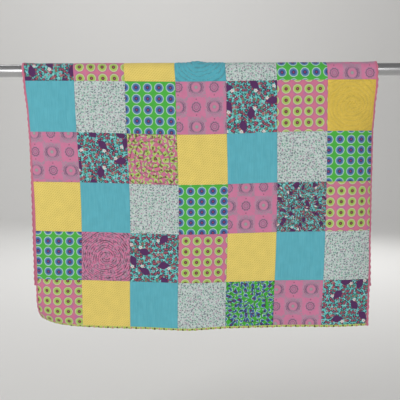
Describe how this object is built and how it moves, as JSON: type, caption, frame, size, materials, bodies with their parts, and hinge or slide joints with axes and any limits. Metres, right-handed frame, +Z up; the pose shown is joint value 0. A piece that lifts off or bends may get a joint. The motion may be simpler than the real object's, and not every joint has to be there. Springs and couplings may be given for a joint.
{
  "type": "patchwork bedspread quilt hung over a metal rail",
  "caption": "Thin quilted patchwork of square cotton pieces with bound edges, folded over a round polished metal rail.",
  "frame": {"origin": "on the rail's axis, midway between its ends", "axes": "+X along the rail to the viewer's right, +Z up, and -Y towards the viewer of the long front panel"},
  "size_m": [1.32, 0.0819, 0.8309],
  "materials": {
    "rail": "polished",
    "patchwork": "matt printed cotton",
    "side_binding": "matt cotton",
    "hem_binding": "matt printed cotton"
  },
  "bodies": {
    "root": {"rail": "rail", "quilt": "patchwork", "binding_left": "side_binding", "binding_right": "side_binding", "binding_front_hem": "hem_binding", "binding_back_hem": "hem_binding"}
  },
  "joints": []
}
